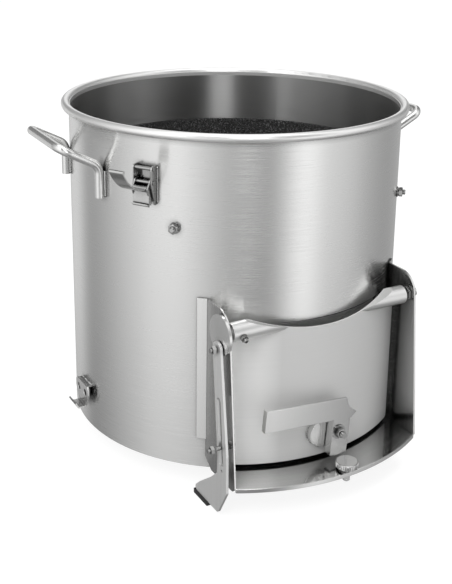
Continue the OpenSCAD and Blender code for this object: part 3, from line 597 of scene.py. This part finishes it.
def washer(r_in, r_out, h, split=0.0):
    """Flat washer along +Z with small chamfers; a split one climbs by split in a turn."""
    c = min(0.25, h / 4)
    profile = [(r_in, c), (r_in + c, 0), (r_out - c, 0), (r_out, c), (r_out, h - c),
               (r_out - c, h), (r_in + c, h), (r_in, h - c)]
    verts = []
    for r, z in profile:
        for i in range(ROUND):
            a = 2 * math.pi * i / ROUND
            verts.append((r * math.cos(a), r * math.sin(a), z + split * i / ROUND))
    return verts, ring_faces(ROUND, len(profile), True)


def nut(corner_r, hole_r, h):
    """Hexagon nut along +Z with chamfered corners and a countersunk hole."""
    flat_r = corner_r * math.cos(math.pi / 6)
    face_r = flat_r * 0.985
    c = 0.35
    verts = []
    for ring in range(8):
        for i in range(ROUND):
            a = 2 * math.pi * i / ROUND
            side = flat_r / math.cos((math.degrees(a) % 60 - 30) * math.pi / 180)
            drop = max(0.0, side - face_r) * 0.6
            r, z = [(hole_r, c), (hole_r + c, 0), (face_r, 0), (side, drop),
                    (side, h - drop), (face_r, h), (hole_r + c, h), (hole_r, h - c)][ring]
            verts.append((r * math.cos(a), r * math.sin(a), z))
    return verts, ring_faces(ROUND, 8, True)


def thread(r, pitch, length):
    """Helical ridge round a bolt along +Z: it stands out by crest and its foot is sunk by root."""
    steps = 24
    crest, root, half = 0.2, 0.15, 0.46
    total = int(length / pitch * steps)
    verts = []
    for i in range(total + 1):
        a = 2 * math.pi * i / steps
        z = pitch * i / steps
        for q, dz in ((r - root, -half), (r + crest, 0.0), (r - root, half)):
            verts.append((q * math.cos(a), q * math.sin(a), z + dz * pitch))
    faces = []
    for i in range(total):
        for k in range(3):
            a, b = 3 * i + k, 3 * i + (k + 1) % 3
            faces.append([a, b, b + 3, a + 3])
    return verts, faces + [[0, 2, 1], [3 * total, 3 * total + 1, 3 * total + 2]]


def weld(path, r):
    """Rippled bead along a path of points, thinner at its ends."""
    step, sides = 1.1, 8
    pts = [Vector(p) for p in path]
    fine = []
    for a, b in zip(pts, pts[1:]):
        n = max(1, int((b - a).length / (step / 4)))
        fine += [a.lerp(b, i / n) for i in range(n)]
    fine.append(pts[-1])
    verts = []
    run = 0.0
    for i, p in enumerate(fine):
        run += (p - fine[i - 1]).length if i else 0
        way = (fine[min(i + 1, len(fine) - 1)] - fine[max(i - 1, 0)]).normalized()
        side = way.orthogonal().normalized()
        up = way.cross(side)
        end = min(i, len(fine) - 1 - i)
        q = r * (1 + 0.1 * math.sin(2 * math.pi * run / step)) * min(1, 0.45 + 0.2 * end)
        for k in range(sides):
            a = 2 * math.pi * k / sides
            verts.append(tuple(p + (side * math.cos(a) + up * math.sin(a)) * q))
    last = (len(fine) - 1) * sides
    faces = ring_faces(sides, len(fine), False)
    return verts, faces + [list(range(sides))[::-1], list(range(last, last + sides))]


def rounded(corners, radii):
    """Outline through flat points; a corner whose radius is 0 stays sharp."""
    steps = 6
    out = []
    for i, (corner, r) in enumerate(zip(corners, radii)):
        here = Vector(corner)
        if not r:
            out.append(here)
            continue
        before = (Vector(corners[i - 1]) - here).normalized()
        after = (Vector(corners[(i + 1) % len(corners)]) - here).normalized()
        half = before.angle(after) / 2
        centre = here + (before + after).normalized() * (r / math.sin(half))
        start = here + before * (r / math.tan(half)) - centre
        end = here + after * (r / math.tan(half)) - centre
        out += [centre + start.lerp(end, k / steps).normalized() * r for k in range(steps + 1)]
    return out


def inset(loop, by):
    """The same closed outline, moved to its left."""
    out = []
    for i, p in enumerate(loop):
        way = (loop[(i + 1) % len(loop)] - loop[i - 1]).normalized()
        out.append(p + Vector((-way.y, way.x)) * by)
    return out


def punched(outline, holes, back, front, edge):
    """Flat plate across X from an outline in Y and Z, its front edges chamfered."""
    loops = [outline] + holes
    verts = []
    for x, by in ((back, 0.0), (front - edge, 0.0), (front, edge)):
        for k, loop in enumerate(loops):
            verts += [(x, q.x, q.y) for q in inset(loop, -by if k else by)]
    count = sum(len(loop) for loop in loops)
    faces = []
    start = 0
    for loop in loops:
        n = len(loop)
        for low in (start, start + count):
            high = low + count
            faces += [[low + i, low + (i + 1) % n, high + (i + 1) % n, high + i] for i in range(n)]
        start += n
    for cap in tessellate_polygon([[Vector((q.x, q.y, 0)) for q in loop] for loop in loops]):
        faces += [list(cap), [i + 2 * count for i in cap]]
    return verts, faces


def bent(path, radii, thick, half):
    """Strip of sheet bent along a path in X and Z, twice half wide across Y."""
    line = rounded(path, radii)
    last = len(line) - 1
    verts = []
    for i, p in enumerate(line):
        way = (line[min(i + 1, last)] - line[max(i - 1, 0)]).normalized()
        off = Vector((-way.y, way.x)) * (thick / 2)
        for q, y in ((p + off, -half), (p + off, half), (p - off, half), (p - off, -half)):
            verts.append((q.x, y, q.y))
    return verts, ring_faces(4, last + 1, False) + [[3, 2, 1, 0], [4 * last + k for k in range(4)]]


ALONG_X = Matrix(((0, 0, 1, 0), (0, 1, 0, 0), (-1, 0, 0, 0), (0, 0, 0, 1)))
ALONG_FRONT = Matrix(((1, 0, 0, 0), (0, 0, -1, 0), (0, 1, 0, 0), (0, 0, 0, 1)))


def place(x, y, z, turned_by=Matrix.Identity(4)):
    """Where a shell goes, in millimetres, once it has been turned."""
    return Matrix.Translation((x, y, z)) @ turned_by


def at_az(angle):
    """Turns +X to a direction round the drum: 0 is the front, 90 the right."""
    return Matrix.Rotation(math.radians(angle - 90), 4, "Z")


def on_wall(r, angle, z):
    """Point at a radius, a direction round the drum and a height."""
    a = math.radians(angle)
    return (r * math.sin(a), -r * math.cos(a), z)


# places of the CAD's own fasteners, in millimetres
DRUM_R = 200
HINGE_Y, HINGE_Z = -197, 178
GUIDE_Y, GUIDE_Z = -209.5, 54
LATCH_X, LATCH_Z = 5.5, 47
PIN_Y, PIN_Z = -198.05, 163.04
LOCK_SCREW_X, LOCK_SCREW_TILT = -105, 110
KNOB_X, KNOB_Y = 8.5, -245.7
LINING_BOLTS, LINING_BOLT_Z = (48, -48, 132, -132), 280
# corner radius and hole radius of the nuts
NUT_5, NUT_6, NUT_10 = (4.6, 2.5), (5.8, 3), (8.5, 5)
# radius and pitch of the threads
THREAD_5, THREAD_6, THREAD_8, THREAD_10 = (2.5, 0.8), (3, 1.0), (4, 1.25), (5, 1.5)
# turned solids start this near their axis
AXIS = 0.01

# nuts with chamfers, each set in place of the plain ones
s = Shape()
for x in (117, 123):
    s.add(*nut(*NUT_10, 4), place(x, HINGE_Y, HINGE_Z, ALONG_X))
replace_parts(s.make("hinge_nuts", "bolt", "drum"), "hinge_bolt_nuts")
s = Shape()
for x in (-121, -127, -145.3):
    s.add(*nut(*NUT_5, 4), place(x, GUIDE_Y, GUIDE_Z, ALONG_X))
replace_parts(s.make("guide_nuts", "bolt", "drum"), "guide_bolt_nuts")
s = Shape()
s.add(*nut(*NUT_6, 4.95), place(LATCH_X, -232.85, LATCH_Z, ALONG_FRONT))
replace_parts(s.make("latch_lock_nut", "bolt", "door"), "latch_nut")
s = Shape()
s.add(*nut(*NUT_5, 4.5), place(-138.1, PIN_Y, PIN_Z, ALONG_X))
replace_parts(s.make("pin_nut", "bolt", "door"), "crank_pin_nut")

# lining bolts with washer, spring washer, nut and threaded end; the bolt's heights are
# distances from the drum's axis
LINING_BOLT = [(AXIS, 194.6), (5, 194.6), (6, 195.2), (6, 197.4), (3.0, 197.4), (3.0, 209.2),
               (2.2, 210), (AXIS, 210)]
s = Shape()
t = Shape()
for angle in LINING_BOLTS:
    here = at_az(angle) @ place(0, 0, LINING_BOLT_Z)
    s.add(*washer(3, 6.3, 1.2), here @ place(DRUM_R, 0, 0, ALONG_X))
    s.add(*washer(3, 5.2, 1.1, 0.4), here @ place(DRUM_R + 1.2, 0, 0, ALONG_X))
    s.add(*nut(*NUT_6, 4.2), here @ place(DRUM_R + 2.4, 0, 0, ALONG_X))
    s.add(*turned(LINING_BOLT), here @ ALONG_X)
    t.add(*thread(2.95, 1.0, 2.6), here @ place(DRUM_R + 6.9, 0, 0, ALONG_X))
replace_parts(s.make("lining_bolts", "bolt", "drum"), "liner_bolts")
t.make("lining_bolt_threads", "bolt", "drum")

# base catches with rounded corners and bends, each with a dark pad of the rubber material behind it
# as painted shade, which makes the gap and the holes look dark; outlines run sideways and up, and
# bends run outwards from the drum's axis and up
CATCH = [(-10.5, 27), (10.5, 27), (19, 42), (19, 54), (-19, 54), (-19, 42)]
CATCH_ROUNDS = [1, 1, 5, 4.5, 4.5, 5]
CATCH_HOLES, CATCH_HOLE_R, CATCH_HOLE_Z = (-9.5, 9.5), 4, 44
CATCH_BACK, CATCH_FRONT = 205, 207
SHELF = [(199.5, 52.95), (205.95, 52.95), (205.95, 48)]
HOOK = [(205.95, 37), (205.95, 26), (215.7, 26), (219.3, 32.2)]
BENT_SHEET, SHELF_HALF, HOOK_HALF = 1.9, 14.5, 10.45
SHADE_PAD = [(-12, 38), (12, 38), (12, 50), (-12, 50)]
SHADE_PAD_BACK, SHADE_PAD_FRONT = 200.8, 204.9
PLATE_EDGE, SHADE_PAD_EDGE = 0.45, 0.3
holes = [[Vector((y + CATCH_HOLE_R * math.cos(math.radians(a)),
                  CATCH_HOLE_Z + CATCH_HOLE_R * math.sin(math.radians(a))))
          for a in range(0, 360, 15)] for y in CATCH_HOLES]
for side, angle in (("left", -90), ("right", 90)):
    here = at_az(angle)
    s = Shape()
    s.add(*punched(rounded(CATCH, CATCH_ROUNDS), holes, CATCH_BACK, CATCH_FRONT,
                   PLATE_EDGE), here)
    s.add(*bent(SHELF, [0, 1.4, 0], BENT_SHEET, SHELF_HALF), here)
    s.add(*bent(HOOK, [0, 2.4, 2.4, 0], BENT_SHEET, HOOK_HALF), here)
    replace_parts(s.make(side + "_catch_plate", "catch", "drum"), side + "_base_catch")
    # dark pad behind the plate: painted shade for the gap and the holes
    s = Shape()
    s.add(*punched(rounded(SHADE_PAD, [3] * 4), [], SHADE_PAD_BACK, SHADE_PAD_FRONT, SHADE_PAD_EDGE), here)
    s.make(side + "_catch_shade_pad", "rubber", "drum")

# threads on the other bolt ends
s = Shape()
s.add(*thread(*THREAD_5, 2.2), place(-147.9, GUIDE_Y, GUIDE_Z, ALONG_X))
s.add(*thread(*THREAD_5, 7.4), place(-140.9, GUIDE_Y, GUIDE_Z, ALONG_X))
s.add(*thread(*THREAD_10, 2.6), place(127.8, HINGE_Y, HINGE_Z, ALONG_X))
s.make("drum_bolt_threads", "bolt", "drum")
s = Shape()
s.add(*thread(*THREAD_5, 1.4), place(-139.9, PIN_Y, PIN_Z, ALONG_X))
s.make("crank_pin_thread", "bolt", "door")
s = Shape()
s.add(*thread(*THREAD_6, 4.4), place(LATCH_X, -238.4, LATCH_Z, ALONG_FRONT))
s.make("latch_bolt_thread", "bolt", "door")

# set screw with a round hole in its end, and its lock nut
LOCK_SCREW = [(AXIS, 5.2), (2.3, 5.2), (2.5, 5.6), (2.5, 17.0), (2.0, 17.5), (1.3, 17.5),
              (1.2, 16.4), (AXIS, 16.4)]
here = place(LOCK_SCREW_X, HINGE_Y, HINGE_Z, Matrix.Rotation(math.radians(LOCK_SCREW_TILT), 4, "X"))
s = Shape()
s.add(*nut(*NUT_5, 3.4), here @ place(0, 0, 10.55))
s.add(*turned(LOCK_SCREW), here)
s.add(*thread(*THREAD_5, 2.6), here @ place(0, 0, 14.4))
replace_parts(s.make("lock_screw", "bolt", "door"), "set_screw")

# thumb screw with a grooved rim and a threaded foot
KNOB_HEAD = [(AXIS, 8.3), (10, 8.3), (10, 10.3), (12.2, 10.9), (13, 11.6), (13, 15.7),
             (12.4, 16.6), (11.8, 16.9), (11.3, 16.9), (AXIS, 16.9)]
KNOB_STUD = [(AXIS, -7), (3.0, -7), (4, -6), (4, 8.4), (AXIS, 8.4)]
GROOVES, GROOVE_DEPTH, GROOVED_FROM = 40, 0.7, 12.9


def grooved(r, i):
    """Radius of the knob's rim at point i, with four points to a groove."""
    return r - (GROOVE_DEPTH if i % 4 < 2 and r > GROOVED_FROM else 0)


s = Shape()
s.add(*turned(KNOB_HEAD, GROOVES * 4, grooved), place(KNOB_X, KNOB_Y, 0))
s.add(*turned(KNOB_STUD), place(KNOB_X, KNOB_Y, 0))
s.add(*thread(*THREAD_8, 7.6), place(KNOB_X, KNOB_Y, -5.2))
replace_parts(s.make("thumb_knob", "knob", "knob"), "thumb_screw")

# weld beads, with their places in degrees round the drum
HANDLES, HANDLE_LEG = (-91.5, 88.5), 15.56
TOGGLE_AT, TOGGLE_HALF = -57.4, 3.62
s = Shape()
# at both sides of each leg of the handles
for angle in HANDLES:
    for leg in (-HANDLE_LEG, HANDLE_LEG):
        for side in (-1.15, 1.15):
            at = angle + leg + side
            s.add(*weld([on_wall(200.7, at, z) for z in (299, 310, 321, 328)], 1.3))
# over each base catch
for angle in (-90, 90):
    s.add(*weld([on_wall(200.4, angle + d, 54.2) for d in (-4.1, -2.5, 0, 2.5, 4.1)], 1.1))
# beside the toggle's base
for side in (-TOGGLE_HALF, TOGGLE_HALF):
    s.add(*weld([on_wall(200.2, TOGGLE_AT + side, z) for z in (305, 325, 345)], 0.8))
# the drum's seam at the back
s.add(*weld([on_wall(200.0, 180, z) for z in (3, 120, 240, 374)], 0.9))
s.make("weld_beads", "weld", "drum")
# round the latch's boss, on the curved door
BOSS_X, BOSS_Z, BOSS_R, DOOR_R = -7, 42, 16.9, 212.6
turns = [math.radians(5 * i) for i in range(72)]
loop = [(BOSS_X + BOSS_R * math.cos(a), BOSS_Z + BOSS_R * math.sin(a)) for a in turns]
s = Shape()
s.add(*weld([(x, -math.sqrt(DOOR_R ** 2 - x * x), z) for x, z in loop + loop[:1]], 0.8))
s.make("boss_weld", "weld", "door")

# loose crystals that stand out of the grit
rng = random.Random(7)
CRYSTAL = [(1, 0, 0), (-1, 0, 0), (0, 1, 0), (0, -1, 0), (0, 0, 1), (0, 0, -1)]
CRYSTAL_FACES = [[0, 2, 4], [2, 1, 4], [1, 3, 4], [3, 0, 4],
                 [2, 0, 5], [1, 2, 5], [3, 1, 5], [0, 3, 5]]
ON_WALL, ON_EDGE = 9000, 1500
GRIT_R, GRIT_LOW, GRIT_SEEN, GRIT_TOP = 195.9, 60, 220, 313.6
EDGE_R, EDGE_Z = (196.2, 197.3), 313.9
# the discharge window, where no crystal goes: degrees to each side, and height
WINDOW_HALF, WINDOW_TOP = 30, 180


def crystal(shape, x, y, z):
    """Adds one crystal of a random size, turn and form."""
    size = rng.uniform(0.4, 0.8)
    turn_by = rng.uniform(0, 6.28)
    about = Vector((rng.uniform(-1, 1), rng.uniform(-1, 1), rng.uniform(-1, 1.1)))
    pts = [Vector(c) * size * rng.uniform(0.6, 1.25) for c in CRYSTAL]
    shape.add(pts, CRYSTAL_FACES, place(x, y, z, Matrix.Rotation(turn_by, 4, about)))


s = Shape()
for i in range(ON_WALL):
    angle = rng.uniform(-180, 180)
    # every third crystal goes to the part that shows over the rim
    z = rng.uniform(GRIT_LOW, GRIT_TOP) if i % 3 else rng.uniform(GRIT_SEEN, GRIT_TOP)
    if abs(angle) < WINDOW_HALF and z < WINDOW_TOP:
        continue
    crystal(s, *on_wall(GRIT_R, angle, z))
for i in range(ON_EDGE):
    crystal(s, *on_wall(rng.uniform(*EDGE_R), rng.uniform(-180, 180), EDGE_Z))
s.make("lining_crystals", "grit", "drum", 10)
